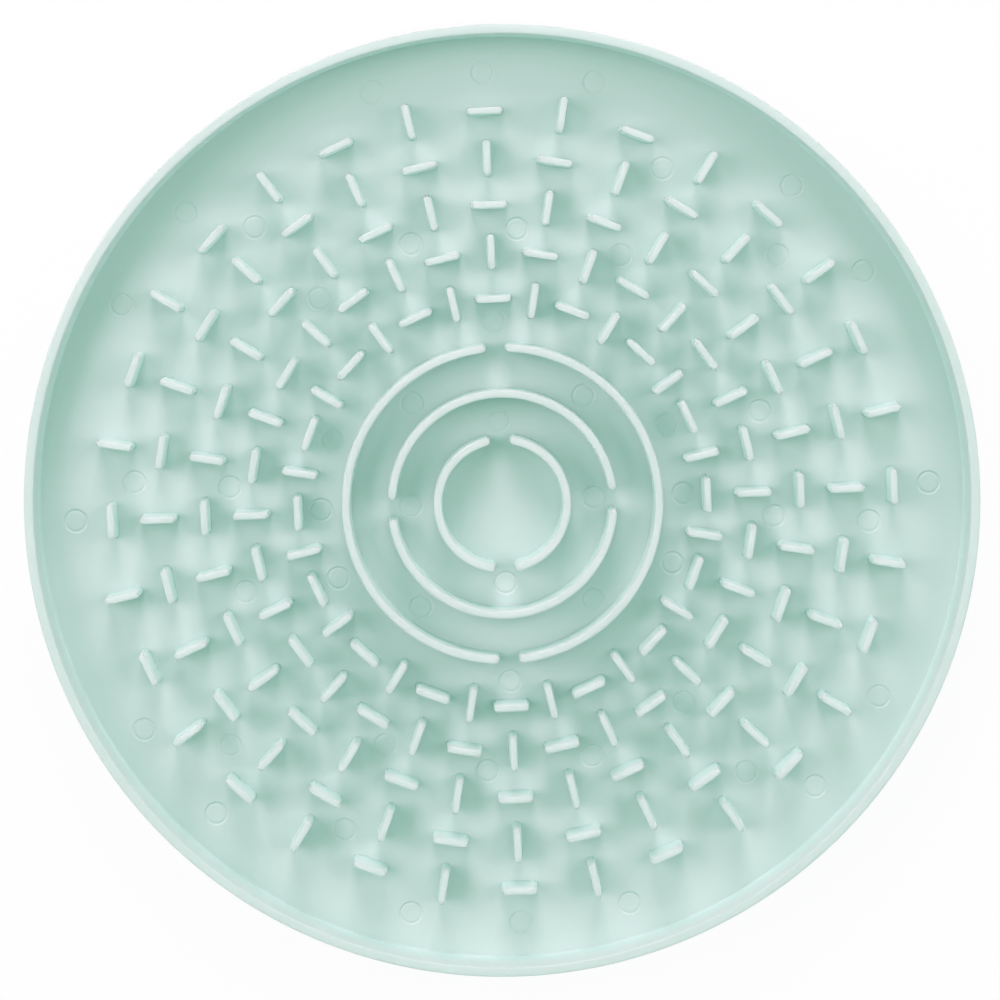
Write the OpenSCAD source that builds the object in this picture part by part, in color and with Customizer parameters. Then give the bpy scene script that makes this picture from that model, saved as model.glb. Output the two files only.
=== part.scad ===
// Round lick mat: a shallow dish whose floor carries curved walls and rings of short upright fins.
// Origin: centre of the plane that the feet stand on. +Z up, +Y is the top of the plate as it is seen.

/* [Dish] */
// Outer diameter over the rim
plate_d = 200; // [186:1:240]
// Thickness of the floor
floor_t = 2; // [1.6:0.1:3]
// Height of the rim above the floor
rim_h = 10; // [8:0.1:14]
// Width of the rim's flat lip, edge to edge
lip_w = 1.95; // [1.6:0.05:3]
// Lean of the rim wall, outwards from the vertical
rim_lean = 1.5; // [0.5:0.5:6]
// Radius of the two top edges of the rim
lip_edge_r = 0.4; // [0.2:0.05:0.7]
// Radius of the fillet where the rim meets the floor
rim_fillet_r = 0.5; // [0.3:0.1:1.5]
// Radius of the outer bottom edge
bottom_edge_r = 1.2; // [0.6:0.1:1.5]

/* [Fins] */
// Height of the fins and curved walls above the floor
fin_h = 7.8; // [4:0.1:9]
// Length of a fin at the floor
fin_l = 7.8; // [5:0.1:8.5]
// Thickness of a fin at its top
fin_top_t = 1.4; // [1:0.05:2]
// Widening of a fin or wall on each side, from its top to the floor
fin_flare = 0.4; // [0.1:0.05:0.5]
// Radius of the top edges of fins and walls
fin_edge_r = 0.35; // [0.1:0.05:0.45]
// Clear width between the outer curved walls and the innermost ring of fins
fin_channel_w = 5.1; // [3:0.1:8]
// Clear width between the outermost ring of fins and the foot of the rim
rim_channel_w = 11.1; // [8:0.1:14]

/* [Curved walls] */
// Thickness of a curved wall at its top
arc_top_t = 1.6; // [1.2:0.05:2.2]
// Centre-line radius of the inner pair
inner_arc_r = 13.6; // [11:0.1:16]
// Centre-line radius of the middle pair
middle_arc_r = 23.3; // [21:0.1:25]
// Centre-line radius of the outer pair
outer_arc_r = 32.9; // [30.5:0.1:34]
// Clear gap between the ends of a pair, at the top
arc_gap = 4.2; // [3:0.1:7]

/* [Ejector marks] */
// Diameter of the round marks that the ejector pins leave in the floor
mark_d = 4.4; // [3:0.1:5]
// Width of the groove round each mark
mark_groove_w = 0.3; // [0.2:0.05:0.5]
// Depth of the groove round each mark
mark_groove_depth = 0.12; // [0.05:0.01:0.3]

/* [Feet] */
// Diameter of a non-slip pad
pad_d = 14; // [10:0.5:18]
// Thickness of a pad
pad_t = 2; // [1.6:0.1:4]
// How far a pad stands out of its cup
pad_show = 0.8; // [0.4:0.1:1.2]
// Radius of the pad's bottom edge
pad_edge_r = 0.3; // [0.1:0.05:0.6]
// Gap round a pad in its cup
pad_clearance = 0.05; // [0:0.01:0.2]
// Wall thickness of a cup
cup_wall_t = 1.2; // [0.8:0.1:2]
// Distance from the foot of the rim inwards to a pad's centre
pad_inset = 16; // [13:0.5:30]

/* [Hidden] */
$fn = 96;
RING_COUNT = 5;
FINS_PER_RING = 32;
PAD_COUNT = 6;
ARC_NAMES = ["inner_arc_left", "inner_arc_right", "middle_arc_upper", "middle_arc_lower",
    "outer_arc_left", "outer_arc_right"];
ARC_RADII = [inner_arc_r, inner_arc_r, middle_arc_r, middle_arc_r, outer_arc_r, outer_arc_r];
// Direction in which each curved wall bulges, in degrees from +X
ARC_FACINGS = [180, 0, 90, 270, 180, 0];
// Every edge radius is drawn with this many straight steps
EDGE_STEPS = 4;
// The round posts in the ends of the curved walls lie this far inside the walls' faces
post_set_in = 0.02;
// Overrun of every cut past the face it starts from
cut_over = 0.1;
MINT = [0.77, 0.88, 0.85];
PAD_GREEN = [0.55, 0.72, 0.67];

plate_r = plate_d / 2;
floor_z = pad_t;
deck_z = floor_z + floor_t;
rim_top_z = deck_z + rim_h;
lip_inner_r = plate_r - lip_w;
// Radius at which the fillet of the rim runs out on the floor
floor_r = lip_inner_r - rim_h * tan(rim_lean) - rim_fillet_r * tan((90 - rim_lean) / 2);
first_ring_r = outer_arc_r + arc_top_t / 2 + fin_flare + fin_channel_w + fin_l / 2;
last_ring_r = floor_r - rim_channel_w - fin_l / 2;
ring_pitch = (last_ring_r - first_ring_r) / (RING_COUNT - 1);
spoke_step = 360 / FINS_PER_RING;
pad_r = pad_d / 2;
cup_bore_r = pad_r + pad_clearance;
cup_r = cup_bore_r + cup_wall_t;
pad_place_r = floor_r - pad_inset;

// Circles of ejector marks: the circle's radius, as a share of the way from one wall or ring to the
// next, and the places of the marks on it in degrees, clockwise from +Y
mark_gap_shares = [0.38, 0.59, 0.52, 0.54, 0.49, 0.55, 0.54];
MARK_CIRCLES = [
    [between(inner_arc_r, middle_arc_r, mark_gap_shares[0]), [0, 180]],
    [between(inner_arc_r, middle_arc_r, mark_gap_shares[1]), [90, 270]],
    [between(middle_arc_r, outer_arc_r, mark_gap_shares[2]), [40, 140, 220, 320]],
    [between(outer_arc_r, first_ring_r, mark_gap_shares[3]), spokes([0, 6, 8, 10, 16, 22, 24, 26])],
    [between(ring_r(1), ring_r(2), mark_gap_shares[4]),
        spokes([0.5, 2.5, 6.5, 8.5, 12.5, 14.5, 16.5, 18.5, 22.5, 24.5, 28.5, 30.5])],
    [between(ring_r(3), last_ring_r, mark_gap_shares[5]),
        spokes([2.5, 4.5, 8.5, 12.5, 18.5, 20.5, 24.5, 28.5])],
    [between(last_ring_r, floor_r, mark_gap_shares[6]),
        [0, 15, 45, 60, 90, 120, 135, 165, 180, 195, 225, 240, 270, 300, 315, 345]]
];

function radial_name(ring) = str("ring_", ring + 1, "_radial_fins");
function cross_name(ring) = str("ring_", ring + 1, "_cross_fins");
function pad_name(i) = str("foot_pad_", i + 1);
function ring_r(ring) = first_ring_r + ring * ring_pitch;
function between(from, to, share) = from + (to - from) * share;
function spokes(numbers) = [for (n = numbers) n * spoke_step];

// Points of an arc about [x, y], from one angle to another
function arc_points(x, y, r, from, to) =
    [for (i = [0 : EDGE_STEPS])
        let (a = from + (to - from) * i / EDGE_STEPS)
        [x + r * cos(a), y + r * sin(a)]];

// Right half of the section of an upright wall: flared to the floor, with a rounded top edge
function half_wall_points(top_t) =
    let (
        slope = atan(fin_flare / fin_h),
        edge_z = fin_h - fin_edge_r,
        side_x = top_t / 2 + fin_flare * fin_edge_r / fin_h,
        edge_x = side_x - fin_edge_r / cos(slope)
    )
    concat(
        [[0, 0], [top_t / 2 + fin_flare, 0]],
        arc_points(edge_x, edge_z, fin_edge_r, slope, 90),
        [[0, fin_h]]
    );

module half_wall_section(top_t) {
    polygon(half_wall_points(top_t));
}

module wall_section(top_t) {
    half_wall_section(top_t);
    mirror([1, 0]) half_wall_section(top_t);
}

// Half-round end of an upright wall, which bulges towards +X
module wall_end(top_t) {
    rotate([0, 0, -90]) rotate_extrude(angle = 180) half_wall_section(top_t);
}

// One fin along X, standing on the floor at the origin
module fin() {
    straight_l = fin_l - fin_top_t - 2 * fin_flare;
    translate([-straight_l / 2, 0, 0])
        rotate([90, 0, 90]) linear_extrude(straight_l) wall_section(fin_top_t);
    for (side = [0, 180])
        rotate([0, 0, side]) translate([straight_l / 2, 0, 0]) wall_end(fin_top_t);
}

// One curved wall, which bulges towards the given direction, with a round post in each end
module arc_wall(centre_r, facing) {
    end_angle = asin((arc_gap + arc_top_t) / 2 / centre_r);
    span = 180 - 2 * end_angle;
    translate([0, 0, deck_z]) rotate([0, 0, facing - span / 2]) {
        rotate_extrude(angle = span) translate([centre_r, 0]) wall_section(arc_top_t);
        for (end = [0, span])
            rotate([0, 0, end]) translate([centre_r, 0, 0])
                rotate_extrude() half_wall_section(arc_top_t - 2 * post_set_in);
    }
}

// The fins of one ring that stand on every second spoke, turned from the radius by the given angle
module fin_ring(ring, first_spoke, turn) {
    color(MINT)
        for (spoke = [first_spoke : 2 : FINS_PER_RING - 1])
            rotate([0, 0, 90 - spoke * spoke_step])
                translate([ring_r(ring), 0, deck_z]) rotate([0, 0, turn]) fin();
}

// Ring 1 has a cross fin on the first spoke, and the kinds swap from ring to ring
module radial_fins(ring) {
    fin_ring(ring, 1 - ring % 2, 0);
}

module cross_fins(ring) {
    fin_ring(ring, ring % 2, 90);
}

module curved_wall(i) {
    color(MINT) arc_wall(ARC_RADII[i], ARC_FACINGS[i]);
}

// Rim wall, from the underside to the lip: a leaning wall with a fillet at its foot
module rim_wall() {
    outer_bottom_r = plate_r - (rim_top_z - floor_z) * tan(rim_lean);
    half_turn = (90 - rim_lean) / 2;
    bottom_x = outer_bottom_r - bottom_edge_r * tan(half_turn);
    lip_inner_x = lip_inner_r + lip_edge_r * tan(half_turn + rim_lean);
    lip_outer_x = plate_r - lip_edge_r * tan(half_turn);
    color(MINT) rotate_extrude()
        polygon(concat(
            [[floor_r, floor_z]],
            arc_points(bottom_x, floor_z + bottom_edge_r, bottom_edge_r, -90, -rim_lean),
            arc_points(lip_outer_x, rim_top_z - lip_edge_r, lip_edge_r, -rim_lean, 90),
            arc_points(lip_inner_x, rim_top_z - lip_edge_r, lip_edge_r, 90, 180 - rim_lean),
            arc_points(floor_r, deck_z + rim_fillet_r, rim_fillet_r, -rim_lean, -90)
        ));
}

// Cup under the floor that holds one pad
module foot_cup() {
    difference() {
        cylinder(r = cup_r, h = pad_t - pad_show);
        translate([0, 0, -cut_over])
            cylinder(r = cup_bore_r, h = pad_t - pad_show + 2 * cut_over);
    }
}

// Groove that one ejector pin leaves round its end
module mark_groove() {
    rotate_extrude()
        polygon([
            [mark_d / 2 - mark_groove_w / 2, 0],
            [mark_d / 2, -mark_groove_depth],
            [mark_d / 2 + mark_groove_w / 2, 0]
        ]);
}

module at_pads() {
    for (i = [0 : PAD_COUNT - 1])
        at_pad(i) children();
}

module at_pad(i) {
    rotate([0, 0, 360 / PAD_COUNT * i]) translate([pad_place_r, 0, 0]) children();
}

module base_plate() {
    color(MINT) difference() {
        union() {
            translate([0, 0, floor_z]) cylinder(r = floor_r, h = floor_t, $fn = 192);
            translate([0, 0, pad_show]) at_pads() foot_cup();
        }
        for (circle = MARK_CIRCLES)
            for (place = circle[1])
                rotate([0, 0, 90 - place]) translate([circle[0], 0, deck_z]) mark_groove();
    }
}

module foot_pad(i) {
    color(PAD_GREEN) at_pad(i) rotate_extrude()
        polygon(concat(
            [[0, 0]],
            arc_points(pad_r - pad_edge_r, pad_edge_r, pad_edge_r, -90, 0),
            [[pad_r, pad_t], [0, pad_t]]
        ));
}

base_plate();
rim_wall();
for (i = [0 : len(ARC_NAMES) - 1])
    curved_wall(i);
for (i = [0 : RING_COUNT - 1])
    radial_fins(i);
for (i = [0 : RING_COUNT - 1])
    cross_fins(i);
for (i = [0 : PAD_COUNT - 1])
    foot_pad(i);
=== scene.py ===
# %% [markdown]
# # A round lick mat
# A lick mat is a shallow dish of soft-touch plastic. Wet food is spread between its upright fins and
# curved walls, and a pet has to lick it out slowly. The whole dish is one moulding, so all its parts
# share one satin mint finish, and soft pads underneath stop it sliding.
#
# The solid model of the dish is loaded as a fixed frame. It has the true sizes, but its edges are plain.
# This notebook builds the skins that are seen: the same shapes with moulded fillets and soft edges.

import math

import bmesh
import bpy
from mathutils import Matrix, Vector


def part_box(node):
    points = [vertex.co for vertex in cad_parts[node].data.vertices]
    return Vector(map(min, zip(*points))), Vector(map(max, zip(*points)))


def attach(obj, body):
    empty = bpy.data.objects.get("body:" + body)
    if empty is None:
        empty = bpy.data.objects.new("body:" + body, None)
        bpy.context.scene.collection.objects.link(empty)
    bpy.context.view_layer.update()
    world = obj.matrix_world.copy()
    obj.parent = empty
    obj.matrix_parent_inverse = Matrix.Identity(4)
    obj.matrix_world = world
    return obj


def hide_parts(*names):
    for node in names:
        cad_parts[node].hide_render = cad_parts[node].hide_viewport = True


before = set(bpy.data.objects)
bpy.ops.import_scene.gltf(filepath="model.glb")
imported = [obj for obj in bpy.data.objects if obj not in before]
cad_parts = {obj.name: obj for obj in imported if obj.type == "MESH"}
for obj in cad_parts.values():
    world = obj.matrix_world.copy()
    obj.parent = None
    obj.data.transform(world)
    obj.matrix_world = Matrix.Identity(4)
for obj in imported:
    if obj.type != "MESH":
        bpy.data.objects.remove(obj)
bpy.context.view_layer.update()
print("nodes in the frame:", len(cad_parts))

# %% [markdown]
# ## Sizes
# Blender works in metres and the mat is measured in millimetres, so one named unit turns one into the
# other. Heights and the outer radius are read from the frame, so the skins can't drift from the solids.
# The few sizes that a box can't tell, such as the thickness of a fin, are written once here.

# %% Sizes that the pieces share
mm = 0.001
floor_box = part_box("base_plate")
rim_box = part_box("rim_wall")
deck_z = floor_box[1][2]
underside_z = rim_box[0][2]
rim_top_z = rim_box[1][2]
wall_top_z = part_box("inner_arc_left")[1][2]
wall_height = wall_top_z - deck_z
plate_radius = rim_box[1][0]
print("deck, rim and wall tops in mm:", [round(z / mm, 2) for z in (deck_z, rim_top_z, wall_top_z)])

fin_thickness = 1.4 * mm
arc_thickness = 1.6 * mm
# Fins and curved walls of the frame widen by this much a side towards the floor, and the skins by less
solid_flare = 0.4 * mm
wall_flare = 0.2 * mm
wall_edge_radius = 0.22 * mm
foot_fillet_radius = 0.12 * mm
# Every skin reaches this far into the floor, so that no light leaks under its edge
sink = 0.02 * mm
weld_distance = 0.001 * mm

# %% [markdown]
# ## Small helpers for meshes
# Each piece starts as an open outline in a bmesh, and operators sweep it into a shape. These helpers do
# the steps that every piece repeats: draw a line of points, sweep it round an axis or along a line, and
# turn the finished bmesh into an object that rides with the frame and stands for its solids.

# %% Mesh helpers
def draw_outline(bm, points):
    """A chain of edges through points of (distance from the axis, height)."""
    corners = [bm.verts.new((r, 0, z)) for r, z in points]
    edges = [bm.edges.new(pair) for pair in zip(corners, corners[1:])]
    return corners + edges


def arc(centre, radius, start, end, steps):
    """Points of an arc in the plane of the outline, with angles in degrees."""
    angles = [math.radians(start + (end - start) * i / steps) for i in range(steps + 1)]
    return [(centre[0] + radius * math.cos(a), centre[1] + radius * math.sin(a)) for a in angles]


def turn(bm, outline, centre, degrees, steps):
    """Sweeps the outline round an upright axis and returns its last copy."""
    swept = bmesh.ops.spin(bm, geom=outline, cent=centre, axis=(0, 0, 1), angle=math.radians(degrees),
                           steps=steps, use_duplicate=False, use_merge=degrees == 360)
    return swept["geom_last"]


def push(bm, outline, step):
    """Sweeps the outline along a straight line and returns its last copy."""
    edges = [e for e in outline if isinstance(e, bmesh.types.BMEdge)]
    swept = bmesh.ops.extrude_edge_only(bm, edges=edges)["geom"]
    corners = [v for v in swept if isinstance(v, bmesh.types.BMVert)]
    bmesh.ops.translate(bm, verts=corners, vec=step)
    last_edges = [e for e in swept if isinstance(e, bmesh.types.BMEdge)
                  and all(v in corners for v in e.verts)]
    return corners + last_edges


def parts_of(bm):
    return list(bm.verts) + list(bm.edges) + list(bm.faces)


def repeat(bm, draw, places):
    """Draws a shape once and puts a copy of it at each place. A place is a 4 by 4 matrix."""
    older = set(parts_of(bm))
    draw(bm)
    shape = [part for part in parts_of(bm) if part not in older]
    for place in places[1:] + places[:1]:
        if place is places[0]:
            copy = shape
        else:
            copy = bmesh.ops.duplicate(bm, geom=shape)["geom"]
        corners = [v for v in copy if isinstance(v, bmesh.types.BMVert)]
        bmesh.ops.transform(bm, matrix=place, verts=corners)


def weld(bm):
    """Joins doubled points and returns the edges that are still open."""
    bmesh.ops.remove_doubles(bm, verts=bm.verts, dist=weld_distance)
    return [e for e in bm.edges if e.is_boundary]


def close_up(bm):
    """Welds, caps what is still open and turns every face outwards."""
    open_edges = weld(bm)
    if open_edges:
        bmesh.ops.holes_fill(bm, edges=open_edges, sides=0)
    bmesh.ops.recalc_face_normals(bm, faces=bm.faces)


def make_piece(bm, name, finish, nodes):
    """Turns a bmesh into a smooth object that rides with the frame and stands for the given nodes."""
    mesh = bpy.data.meshes.new(name)
    bm.to_mesh(mesh)
    bm.free()
    mesh.shade_smooth()
    piece = bpy.data.objects.new(name, mesh)
    bpy.context.collection.objects.link(piece)
    mesh.materials.append(finish)
    evener = piece.modifiers.new("even_shading", "WEIGHTED_NORMAL")
    evener.weight = 100
    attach(piece, "root")
    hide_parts(*nodes)
    print(name, "faces:", len(mesh.polygons))
    return piece


# %% [markdown]
# ## Writing shaders as sums
# A material is a graph of nodes, and maths in it is easier to read as an expression. This class wraps
# one socket: adding or multiplying two of them, or one and a number, puts the Math node in place. Its
# node method makes any other node from its settings and the values or links of its sockets.

# %% A socket that does sums
class Signal:
    def __init__(self, tree, socket=None):
        self.tree = tree
        self.socket = socket

    def node(self, kind, settings=None, output=0, **inputs):
        made = self.tree.nodes.new(kind)
        for key, value in (settings or {}).items():
            setattr(made, key, value)
        for key, value in inputs.items():
            wanted = key.replace("_", " ")
            numbered = key[0] == "i" and key[1:].isdigit()
            socket = made.inputs[int(key[1:]) if numbered else wanted]
            if isinstance(value, Signal):
                self.tree.links.new(value.socket, socket)
            else:
                socket.default_value = value
        return Signal(self.tree, made.outputs[output])

    def sum_up(self, operation, first, second=None):
        inputs = {"i0": first} if second is None else {"i0": first, "i1": second}
        return self.node("ShaderNodeMath", {"operation": operation}, **inputs)

    def __add__(self, other):
        return self.sum_up("ADD", self, other)

    def __radd__(self, other):
        return self.sum_up("ADD", other, self)

    def __sub__(self, other):
        return self.sum_up("SUBTRACT", self, other)

    def __rsub__(self, other):
        return self.sum_up("SUBTRACT", other, self)

    def __mul__(self, other):
        return self.sum_up("MULTIPLY", self, other)

    def __rmul__(self, other):
        return self.sum_up("MULTIPLY", other, self)

    def clamp(self, low, high):
        return self.sum_up("MINIMUM", self.sum_up("MAXIMUM", self, low), high)


def start_material(name):
    """An empty material, its graph and its one Principled shader."""
    material = bpy.data.materials.new(name)
    material.use_nodes = True
    tree = material.node_tree
    shader = tree.nodes["Principled BSDF"]
    return material, Signal(tree), shader


def feed(signal, shader, socket):
    signal.tree.links.new(signal.socket, shader.inputs[socket])


# %% [markdown]
# ## The mint plastic
# The dish is satin polypropylene, pale mint and a little milky. The mould's faint spark texture breaks up
# the highlights: two sizes of noise tilt the surface a little, and slow noise shifts the roughness and
# the colour by a few parts in a hundred, as flow marks do in a real moulding.
#
# A fin is thin enough to let light through. It comes out on the shaded side too, so a fin looks paler
# than the floor, has no dark side and no hard highlight. That is subsurface scattering. The method named
# Burley gathers what falls within a few millimetres of a point, and so evens out walls thinner than
# that. It is strong on the fins and the curved walls and weaker on the rim. On the floor it would do
# nothing but blur the shadows, so it is left out there. The walls, and more weakly the rim, also have
# painted light in their colour. A painted highlight makes them paler towards the top, and a painted glow
# makes them greener at the foot, standing for light that has come a longer way through the plastic.

# %% Mint plastic finishes
flow_scale = 28.0
ripple_scale = 420.0
grain_scale = 2600.0
mint_darker = (0.530, 0.725, 0.662, 1.0)
mint_lighter = (0.560, 0.745, 0.687, 1.0)
# Painted light for walls and rim: a painted glow, greener, at the foot and a painted highlight, paler, at
# the top
wall_foot_painted_glow = (0.540, 0.800, 0.735, 1.0)
wall_top_painted_highlight = (0.590, 0.712, 0.675, 1.0)
satin_roughness = 0.70
spark_depth = 0.05 * mm
scatter_reach = 4.0 * mm


def mint_plastic(name, glow_share, painted_light_share):
    """The mint finish.

    The glow share is how much of the light is scattered below the surface. The painted light share is how
    far the colour goes towards the painted glow at a wall's foot and the painted highlight at its top.
    """
    material, graph, shader = start_material(name)
    place = graph.node("ShaderNodeTexCoord", output=3)
    flow = graph.node("ShaderNodeTexNoise", Vector=place, Scale=flow_scale, Detail=3.0, Roughness=0.5)
    grain = graph.node("ShaderNodeTexNoise", Vector=place, Scale=grain_scale, Detail=2.0, Roughness=0.6)
    ripple = graph.node("ShaderNodeTexNoise", Vector=place, Scale=ripple_scale, Detail=3.0, Roughness=0.5)
    shift = (flow - 0.5) * 1.6 + (ripple - 0.5) * 0.5
    body = graph.node("ShaderNodeMix", {"data_type": "RGBA"}, output=2,
                      i0=(shift + 0.5).clamp(0.0, 1.0), i6=mint_darker, i7=mint_lighter)
    # Painted light: up a wall the colour goes from the painted glow at its foot to the painted highlight
    # at its top
    height = graph.node("ShaderNodeSeparateXYZ", output=2, Vector=place)
    painted_light_climb = ((height - deck_z) * (1 / wall_height)).clamp(0.0, 1.0)
    painted_light_colour = graph.node("ShaderNodeMix", {"data_type": "RGBA"}, output=2,
                      i0=painted_light_climb, i6=wall_foot_painted_glow, i7=wall_top_painted_highlight)
    colour = graph.node("ShaderNodeMix", {"data_type": "RGBA"}, output=2,
                        i0=painted_light_share, i6=body, i7=painted_light_colour)
    feed(colour, shader, "Base Color")
    feed(satin_roughness + (flow - 0.5) * 0.10 + (grain - 0.5) * 0.06, shader, "Roughness")
    relief = graph.node("ShaderNodeBump", Height=grain * 0.4 + ripple * 0.6, Strength=0.10,
                        Distance=spark_depth)
    feed(relief, shader, "Normal")
    shader.subsurface_method = "BURLEY"
    shader.inputs["Subsurface Weight"].default_value = glow_share
    shader.inputs["Subsurface Radius"].default_value = (1.0, 1.0, 1.0)
    shader.inputs["Subsurface Scale"].default_value = scatter_reach
    shader.inputs["IOR"].default_value = 1.5
    return material


mint = mint_plastic("mint_plastic", glow_share=0.0, painted_light_share=0.0)
# The rim gets part of the painted highlight, most of it on its lip, and part of the painted glow
rim_mint = mint_plastic("rim_mint_plastic", glow_share=0.6, painted_light_share=0.6)
# The fins and curved walls get all of the painted highlight and the painted glow
thin_mint = mint_plastic("thin_mint_plastic", glow_share=0.85, painted_light_share=1.0)
print("finishes ready:", mint.name, rim_mint.name, thin_mint.name)

# %% [markdown]
# ## The pad rubber
# The pads are soft thermoplastic rubber, a duller and deeper green. Rubber like this is matt and picks up
# fine dust, so it gets a coarser grain than the dish and paler blotches where dust clings.

# %% Pad rubber finish
dust_scale = 160.0
rubber_grain_scale = 1800.0
rubber_clean = (0.26, 0.45, 0.39, 1.0)
rubber_dusty = (0.36, 0.53, 0.48, 1.0)
rubber_roughness = 0.78
rubber_grain_depth = 0.08 * mm


def pad_rubber():
    material, graph, shader = start_material("pad_rubber")
    place = graph.node("ShaderNodeTexCoord", output=3)
    grain = graph.node("ShaderNodeTexNoise", Vector=place, Scale=rubber_grain_scale,
                       Detail=3.0, Roughness=0.6)
    dust = graph.node("ShaderNodeTexNoise", Vector=place, Scale=dust_scale, Detail=4.0, Roughness=0.6)
    colour = graph.node("ShaderNodeMix", {"data_type": "RGBA"}, output=2,
                        i0=((dust - 0.45) * 2.5).clamp(0.0, 1.0), i6=rubber_clean, i7=rubber_dusty)
    feed(colour, shader, "Base Color")
    feed(rubber_roughness + (grain - 0.5) * 0.2, shader, "Roughness")
    relief = graph.node("ShaderNodeBump", Height=grain, Strength=0.25, Distance=rubber_grain_depth)
    feed(relief, shader, "Normal")
    return material


rubber = pad_rubber()
print("finish ready:", rubber.name)

# %% [markdown]
# ## The dish
# Floor and rim are one turned shape: a flat disc that ends in a thin upright wall, with a flat lip, soft
# lip edges, a fillet at the floor and a rounder edge below. A wall of one section round an axis is what
# Spin is for, so the section is drawn once, from the middle of the underside round to the fillet, and
# turned through a full circle. That leaves only the deck open.

# %% Section of the dish
lip_width = 1.95 * mm
lip_edge_radius = 0.25 * mm
rim_lean = 1.5
solid_fillet_radius = 0.5 * mm
rim_fillet_radius = 0.3 * mm
bottom_edge_radius = 1.2 * mm
dish_steps = 240
dish_edge_steps = 6

half_turn = math.radians((90 - rim_lean) / 2)
lean = math.tan(math.radians(rim_lean))
rim_height = rim_top_z - deck_z
lip_inner_radius = plate_radius - lip_width
wall_foot_radius = lip_inner_radius - rim_height * lean
floor_radius = wall_foot_radius - solid_fillet_radius * math.tan(half_turn)
rim_foot_radius = plate_radius - (rim_top_z - underside_z) * lean


def dish_section():
    inner_edge = (lip_inner_radius + lip_edge_radius * math.tan(half_turn + math.radians(rim_lean)),
                  rim_top_z - lip_edge_radius)
    outer_edge = (plate_radius - lip_edge_radius * math.tan(half_turn), rim_top_z - lip_edge_radius)
    bottom_edge = (rim_foot_radius - bottom_edge_radius * math.tan(half_turn),
                   underside_z + bottom_edge_radius)
    foot = (wall_foot_radius - rim_fillet_radius * math.tan(half_turn), deck_z + rim_fillet_radius)
    points = [(0, underside_z)]
    points += arc(bottom_edge, bottom_edge_radius, -90, -rim_lean, dish_edge_steps)
    points += arc(outer_edge, lip_edge_radius, -rim_lean, 90, dish_edge_steps)
    points += arc(inner_edge, lip_edge_radius, 90, 180 - rim_lean, dish_edge_steps)
    return points + arc(foot, rim_fillet_radius, -rim_lean, -90, dish_edge_steps)


print("floor radius in mm:", round(floor_radius / mm, 2))

# %% [markdown]
# ## Ejector marks
# Pins that pushed the moulding out of its mould have left 52 faint round marks in the deck, on circles
# between the walls and the rings. A mark is a disc a few hundredths of a millimetre below the deck. Round
# it runs a fine groove, where plastic crept round the pin, and round that a welt that is hardly raised.
# It is turned from its own small section round its own middle.

# %% Places and section of the marks
mark_radius = 2.2 * mm
mark_depth = 0.07 * mm
welt_height = 0.05 * mm
welt_width = 0.5 * mm
groove_depth = 0.22 * mm
groove_width = 0.52 * mm
groove_floor_share = 0.2
disc_margin = 0.25 * mm
mark_steps = 32
spoke_count = 32
ring_count = 5

fin_foot_half = fin_thickness / 2 + solid_flare
arc_foot_half = arc_thickness / 2 + solid_flare


def reach(node):
    """How far a node reaches from the mat's axis, along X or Y."""
    return max(abs(place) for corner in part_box(node) for place in corner[:2])


inner_arc_radius, middle_arc_radius, outer_arc_radius = [
    reach(node) - arc_foot_half for node in ("inner_arc_left", "middle_arc_upper", "outer_arc_left")]
first_ring_radius = reach("ring_1_cross_fins") - fin_foot_half
last_ring_radius = reach("ring_5_cross_fins") - fin_foot_half
ring_radii = [first_ring_radius + (last_ring_radius - first_ring_radius) * ring / (ring_count - 1)
              for ring in range(ring_count)]
fin_length = 2 * (reach("ring_2_radial_fins") - ring_radii[1])
print("ring radii in mm:", [round(radius / mm, 2) for radius in ring_radii])


def between(start, end, share):
    return start + (end - start) * share


def spokes(*numbers):
    return [360 / spoke_count * number for number in numbers]


# The radius of each circle of marks, and its marks in degrees, clockwise from the top
mark_circles = [
    (between(inner_arc_radius, middle_arc_radius, 0.38), [0, 180]),
    (between(inner_arc_radius, middle_arc_radius, 0.59), [90, 270]),
    (between(middle_arc_radius, outer_arc_radius, 0.52), [40, 140, 220, 320]),
    (between(outer_arc_radius, ring_radii[0], 0.54), spokes(0, 6, 8, 10, 16, 22, 24, 26)),
    (between(ring_radii[1], ring_radii[2], 0.49),
     spokes(0.5, 2.5, 6.5, 8.5, 12.5, 14.5, 16.5, 18.5, 22.5, 24.5, 28.5, 30.5)),
    (between(ring_radii[3], ring_radii[4], 0.55), spokes(2.5, 4.5, 8.5, 12.5, 18.5, 20.5, 24.5, 28.5)),
    (between(ring_radii[4], floor_radius, 0.54),
     [0, 15, 45, 60, 90, 120, 135, 165, 180, 195, 225, 240, 270, 300, 315, 345]),
]


def draw_mark(bm):
    """One mark round the origin. Its outer edge stays open, to be joined to the deck."""
    outer = mark_radius + groove_width / 2
    inner = mark_radius - groove_width / 2
    half_floor = groove_floor_share * groove_width / 2
    section = [(outer + welt_width, 0),
               (outer + 0.6 * welt_width, welt_height),
               (outer + 0.4 * welt_width, welt_height),
               (outer, -mark_depth),
               (mark_radius + half_floor, -groove_depth),
               (mark_radius - half_floor, -groove_depth),
               (inner, -mark_depth),
               (inner - disc_margin, -mark_depth),
               (0, -mark_depth)]
    turn(bm, draw_outline(bm, section), (0, 0, 0), 360, mark_steps)


def out_along(degrees, radius, height=0):
    """The place at this radius and height, in a direction anticlockwise from the right."""
    return Matrix.Rotation(math.radians(degrees), 4, "Z") @ Matrix.Translation((radius, 0, height))


mark_places = [out_along(90 - degrees, radius, deck_z)
               for radius, places in mark_circles for degrees in places]
print("ejector marks:", len(mark_places))

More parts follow.
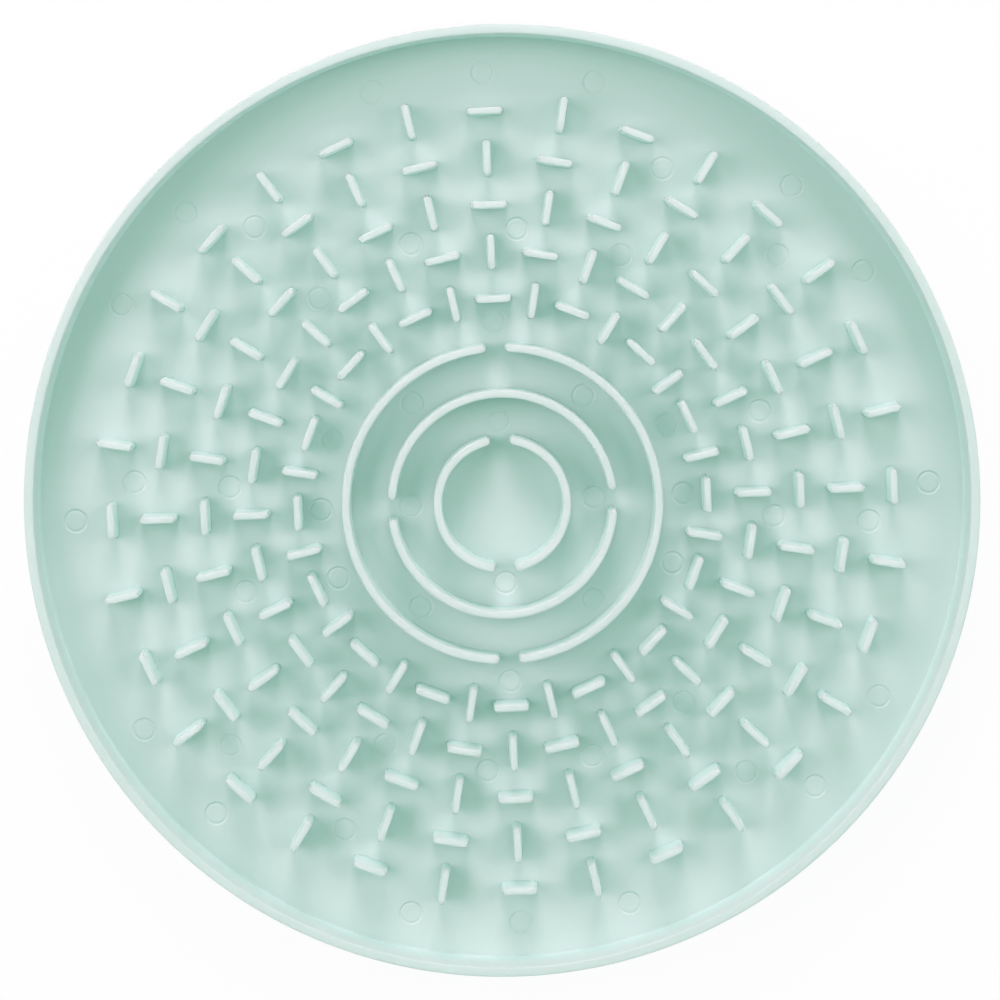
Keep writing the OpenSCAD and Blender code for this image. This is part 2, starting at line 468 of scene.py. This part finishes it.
# %% [markdown]
# ## Closing the deck
# With the turned dish and all its marks in one bmesh, the open edges are the end of the fillet and the
# outer edge of each mark. Triangle Fill closes a flat face with holes from its edges alone. The round
# cups that hold the pads are turned as well, and stand on the underside.

# %% Build the dish
pad_count = 6
pad_radius = 7.0 * mm
pad_clearance = 0.05 * mm
pad_inset = 16.0 * mm
cup_wall = 1.2 * mm
cup_edge_radius = 0.25 * mm
cup_foot_z = 0.8 * mm
cup_steps = 64
cup_edge_steps = 3

pad_places = [out_along(360 / pad_count * number, floor_radius - pad_inset) for number in range(pad_count)]


def draw_cup(bm):
    """A short pipe round the origin, from just above the ground into the underside."""
    bore = pad_radius + pad_clearance
    outside = bore + cup_wall
    edge_z = cup_foot_z + cup_edge_radius
    section = [(bore, underside_z + sink)]
    section += arc((bore + cup_edge_radius, edge_z), cup_edge_radius, 180, 270, cup_edge_steps)
    section += arc((outside - cup_edge_radius, edge_z), cup_edge_radius, 270, 360, cup_edge_steps)
    section += [(outside, underside_z + sink), (bore, underside_z + sink)]
    turn(bm, draw_outline(bm, section), (0, 0, 0), 360, cup_steps)


def build_dish():
    """Floor, rim, marks and cups. Faces above the fillet have the rim's finish."""
    bm = bmesh.new()
    repeat(bm, draw_cup, pad_places)
    repeat(bm, draw_mark, mark_places)
    turn(bm, draw_outline(bm, dish_section()), (0, 0, 0), 360, dish_steps)
    bmesh.ops.triangle_fill(bm, edges=weld(bm), use_beauty=True, normal=(0, 0, 1))
    print("open edges left in the deck:", len(weld(bm)))
    close_up(bm)
    for face in bm.faces:
        face.material_index = int(face.calc_center_median().z > deck_z + rim_fillet_radius)
    dish = make_piece(bm, "dish_skin", mint, ["base_plate", "rim_wall"])
    dish.data.materials.append(rim_mint)
    return dish


build_dish()

# %% [markdown]
# ## Upright walls
# Fins and curved walls have one section: flared to the floor so that they leave the mould, rounded along
# the top and filleted at the foot. Half of that section is swept round the wall's plan. Along a fin it
# goes straight, round the end in a half turn, back and round again. The point on the middle line stays
# on the axis of each half turn, so the top closes by itself.

# %% Half of the section of an upright wall
def half_section(thickness, edge_steps, foot_steps):
    """Points of (distance from the middle plane, height above the floor), from the top down."""
    half = thickness / 2
    slope = math.degrees(math.atan(wall_flare / wall_height))
    edge = (half + wall_flare * wall_edge_radius / wall_height - wall_edge_radius,
            wall_height - wall_edge_radius)
    foot = (half + wall_flare + foot_fillet_radius, foot_fillet_radius)
    points = [(0, wall_height)]
    points += arc(edge, wall_edge_radius, 90, slope, edge_steps)
    points += arc(foot, foot_fillet_radius, 180, 270, foot_steps)
    return points + [(points[-1][0], -sink)]


def make_wall(bm, node):
    """The skin of a wall. Its fillet has the floor's finish, so that it runs into the floor unseen."""
    for face in bm.faces:
        face.material_index = int(face.calc_center_median().z < deck_z + foot_fillet_radius)
    wall = make_piece(bm, node + "_skin", thin_mint, [node])
    wall.data.materials.append(mint)
    return wall


print("wall section in mm:", [(round(x / mm, 2), round(z / mm, 2))
                              for x, z in half_section(fin_thickness, edge_steps=2, foot_steps=1)])

# %% [markdown]
# ## The fins
# There are five rings of 32 fins, and along every spoke a fin that points outwards is followed by one
# that lies across, so the food is held from both sides. One fin is made with few faces, because it is
# repeated so often, and copied to every second spoke of its ring.

# %% Build the rings of fins
fin_end_steps = 6


def draw_fin(bm):
    """One fin along X that stands at the origin."""
    straight = fin_length - fin_thickness - 2 * wall_flare
    outline = draw_outline(bm, half_section(fin_thickness, edge_steps=2, foot_steps=1))
    bmesh.ops.rotate(bm, verts=bm.verts, cent=(0, 0, 0), matrix=Matrix.Rotation(math.radians(-90), 3, "Z"))
    bmesh.ops.translate(bm, verts=bm.verts, vec=(straight / 2, 0, 0))
    outline = turn(bm, outline, (straight / 2, 0, 0), 180, fin_end_steps)
    outline = push(bm, outline, (-straight, 0, 0))
    outline = turn(bm, outline, (-straight / 2, 0, 0), 180, fin_end_steps)
    push(bm, outline, (straight, 0, 0))
    close_up(bm)


def build_fin_ring(ring, kind):
    """All fins of one ring that point outwards, or all that lie across."""
    radial = kind == "radial"
    first_spoke = (ring + 1) % 2 if radial else ring % 2
    quarter = Matrix.Rotation(math.radians(0 if radial else 90), 4, "Z")
    places = [out_along(90 - degrees, ring_radii[ring], deck_z) @ quarter
              for degrees in spokes(*range(first_spoke, spoke_count, 2))]
    bm = bmesh.new()
    repeat(bm, draw_fin, places)
    return make_wall(bm, f"ring_{ring + 1}_{kind}_fins")


for ring in range(ring_count):
    for kind in ("radial", "cross"):
        build_fin_ring(ring, kind)

# %% [markdown]
# ## The curved walls
# Three pairs of curved walls circle the middle. Their plan is an arc with round ends, so the same half
# section goes round the mat's axis for the outer face, round the end, back for the inner face and round
# the other end. Going back, the outline has turned to face inwards.

# %% Build the curved walls
arc_gap = 4.2 * mm
arc_end_steps = 12
fewest_arc_steps = 24
# Degrees of span times millimetres of radius in one step, which is about half a millimetre of wall
span_per_arc_step = 30
curved_walls = [
    ("inner_arc_left", inner_arc_radius, 180), ("inner_arc_right", inner_arc_radius, 0),
    ("middle_arc_upper", middle_arc_radius, 90), ("middle_arc_lower", middle_arc_radius, 270),
    ("outer_arc_left", outer_arc_radius, 180), ("outer_arc_right", outer_arc_radius, 0),
]


def build_curved_wall(node, radius, facing):
    end_angle = math.degrees(math.asin((arc_gap + arc_thickness) / 2 / radius))
    span = 180 - 2 * end_angle
    arc_steps = max(fewest_arc_steps, round(span * radius / mm / span_per_arc_step))
    start = facing - span / 2
    first_end = Matrix.Rotation(math.radians(start), 3, "Z") @ Vector((radius, 0, 0))
    last_end = Matrix.Rotation(math.radians(start + span), 3, "Z") @ Vector((radius, 0, 0))
    bm = bmesh.new()
    outline = draw_outline(bm, half_section(arc_thickness, edge_steps=4, foot_steps=3))
    bmesh.ops.translate(bm, verts=bm.verts, vec=(radius, 0, deck_z))
    bmesh.ops.rotate(bm, verts=bm.verts, cent=(0, 0, 0),
                     matrix=Matrix.Rotation(math.radians(start), 3, "Z"))
    outline = turn(bm, outline, (0, 0, 0), span, arc_steps)
    outline = turn(bm, outline, last_end, 180, arc_end_steps)
    outline = turn(bm, outline, (0, 0, 0), -span, arc_steps)
    turn(bm, outline, first_end, 180, arc_end_steps)
    close_up(bm)
    return make_wall(bm, node)


for node, radius, facing in curved_walls:
    build_curved_wall(node, radius, facing)

# %% [markdown]
# ## The pads
# Six round pads sit in cups under the floor. A pad is a plain button in its mould, with a rounded lower
# edge and a shallow dish in its face, which grips better than a flat one. It is spun like the rim.

# %% Spin the pads
pad_thickness = 2.0 * mm
pad_edge_radius = 0.3 * mm
pad_face_dip = 0.15 * mm
pad_land_width = 2.0 * mm
pad_slope_width = 0.4 * mm
pad_steps = 48
pad_edge_steps = 4


def spin_pad(number, place):
    edge = (pad_radius - pad_edge_radius, pad_edge_radius)
    land = pad_radius - pad_land_width
    points = [(0, pad_face_dip), (land - pad_slope_width, pad_face_dip), (land, 0)]
    points += arc(edge, pad_edge_radius, -90, 0, pad_edge_steps)
    points += [(pad_radius, pad_thickness), (0, pad_thickness)]
    bm = bmesh.new()
    turn(bm, draw_outline(bm, points), (0, 0, 0), 360, pad_steps)
    bmesh.ops.transform(bm, matrix=place, verts=bm.verts)
    close_up(bm)
    node = f"foot_pad_{number}"
    return make_piece(bm, node + "_skin", rubber, [node])


for number, place in enumerate(pad_places, 1):
    spin_pad(number, place)

# %% [markdown]
# ## The stage
# The mat stands on a plain white floor, which is only there to catch its shadow. To the camera the floor
# and the world are white, as a sheet of studio paper is, and to the mat the world is a soft greenish light
# from all round. The floor ends in front of the lamps, where it is still lit to white, so from the side
# its edge doesn't show against the world.

# %% Floor and world
floor_half_width = 1.4
fill_level = 0.42
fill_colour = (0.460, 1.0, 0.785)
paper_glow = 0.94
paper_grey = (0.9, 0.9, 0.9, 1.0)
paper_roughness = 0.9
white = (1.0, 1.0, 1.0, 1.0)


def seen_straight_or_mirrored(graph):
    """1 for a ray from the camera, off a gloss or through something clear, and 0 for one that lights."""
    camera_ray, glossy_ray, clear_ray = [
        graph.node("ShaderNodeLightPath", output=number) for number in (0, 3, 6)]
    return (camera_ray + glossy_ray + clear_ray).clamp(0.0, 1.0)


def make_floor():
    bm = bmesh.new()
    bmesh.ops.create_grid(bm, x_segments=1, y_segments=1, size=floor_half_width)
    mesh = bpy.data.meshes.new("studio_floor")
    bm.to_mesh(mesh)
    bm.free()
    floor = bpy.data.objects.new("studio_floor", mesh)
    bpy.context.collection.objects.link(floor)
    material, graph, shader = start_material("studio_paper")
    shader.inputs["Base Color"].default_value = paper_grey
    shader.inputs["Roughness"].default_value = paper_roughness
    shader.inputs["Specular IOR Level"].default_value = 0.0
    glow = graph.node("ShaderNodeEmission", Color=white, Strength=1.0)
    seen = seen_straight_or_mirrored(graph)
    paper = Signal(graph.tree, shader.outputs[0])
    both = graph.node("ShaderNodeMixShader", i0=seen * paper_glow, i1=paper, i2=glow)
    graph.tree.links.new(both.socket, graph.tree.nodes["Material Output"].inputs["Surface"])
    mesh.materials.append(material)
    return floor


def light_world():
    world = bpy.data.worlds.new("studio_world")
    bpy.context.scene.world = world
    world.use_nodes = True
    graph = Signal(world.node_tree)
    seen = seen_straight_or_mirrored(graph)
    sky = world.node_tree.nodes["Background"]
    colour = graph.node("ShaderNodeMix", {"data_type": "RGBA"}, output=2, i0=seen,
                        i6=(*fill_colour, 1.0), i7=white)
    feed(colour, sky, "Color")
    feed(fill_level + seen * (1.0 - fill_level), sky, "Strength")


make_floor()
light_world()

# %% [markdown]
# ## The lamps
# Four soft lamps hang low above the top of the picture, higher to its left and right, and straight above.
# The first three show in the shadows: fins that lie across the light have one on their far side, and fins
# that point up the picture have one on either side. The weaker one above reaches into the shadows.
# Light that has been in the mint plastic comes back greener, so shadows look greener than lit places. The
# light helps that on: the side lamps are rosy and the fill from all round is greenish, and on a white
# card their sum is close to white.

# %% Soft lamps
side_colour = (1.0, 0.61, 0.76)
overhead_colour = (0.94, 1.0, 1.0)
lamp_distance = 1.50


def hang_lamp(name, compass, height_angle, size, level, colour):
    """A soft rectangle that points at the mat. Level 1 lights a white card on the floor to white.

    The compass angle runs anticlockwise from the right of the picture, and the height angle up from
    the ground.
    """
    lamp = bpy.data.lights.new(name, "AREA")
    lamp.shape = "RECTANGLE"
    lamp.size, lamp.size_y = size
    flat = math.cos(math.radians(height_angle))
    place = lamp_distance * Vector((flat * math.cos(math.radians(compass)),
                                    flat * math.sin(math.radians(compass)),
                                    math.sin(math.radians(height_angle))))
    lamp.energy = level * math.pi ** 2 * lamp_distance ** 2 / math.sin(math.radians(height_angle))
    lamp.color = colour
    hung = bpy.data.objects.new(name, lamp)
    bpy.context.collection.objects.link(hung)
    hung.location = place
    hung.rotation_euler = place.to_track_quat("Z", "Y").to_euler()
    return hung


hang_lamp("top_softbox", 90, 26, (0.56, 0.70), 0.285, side_colour)
hang_lamp("left_softbox", 163, 45, (0.95, 1.00), 0.350, side_colour)
hang_lamp("right_softbox", 15, 43, (0.80, 1.00), 0.208, side_colour)
hang_lamp("overhead_softbox", 90, 89, (0.86, 0.86), 0.132, overhead_colour)

# %% [markdown]
# ## The camera
# The photograph was taken from nearly straight above, from about three quarters of a metre, and the plate
# was turned slightly anticlockwise. Tilt, distance and turn were worked out from how the rings shrink
# across the picture and how far the fins' tops are shifted from their feet.

# %% Camera
camera_distance = 750.0 * mm
camera_tilt = 4.882
camera_side_tilt = 0.175
camera_roll = 2.593
camera_shift = Vector((0.47 * mm, -0.36 * mm))
pixels_per_mm = 4.7201
picture_width = 1000
sensor_width = 36.0
nearest_seen = 0.01
farthest_seen = 20.0


def place_camera():
    camera = bpy.data.objects.new("camera", bpy.data.cameras.new("camera"))
    bpy.context.collection.objects.link(camera)
    turned = (Matrix.Rotation(math.radians(-camera_tilt), 4, "X")
              @ Matrix.Rotation(math.radians(-camera_side_tilt), 4, "Y")
              @ Matrix.Rotation(math.radians(-camera_roll), 4, "Z"))
    back = Matrix.Translation((-camera_shift.x, -camera_shift.y, camera_distance))
    camera.matrix_world = Matrix.Translation((0, 0, deck_z)) @ turned @ back
    camera.data.sensor_width = sensor_width
    focal_pixels = camera_distance / mm * pixels_per_mm
    camera.data.lens = focal_pixels / picture_width * sensor_width
    camera.data.clip_start = nearest_seen
    camera.data.clip_end = farthest_seen
    bpy.context.scene.camera = camera
    return camera


camera = place_camera()
bpy.context.scene.view_settings.view_transform = "Standard"
print("lens in mm:", round(camera.data.lens, 1))
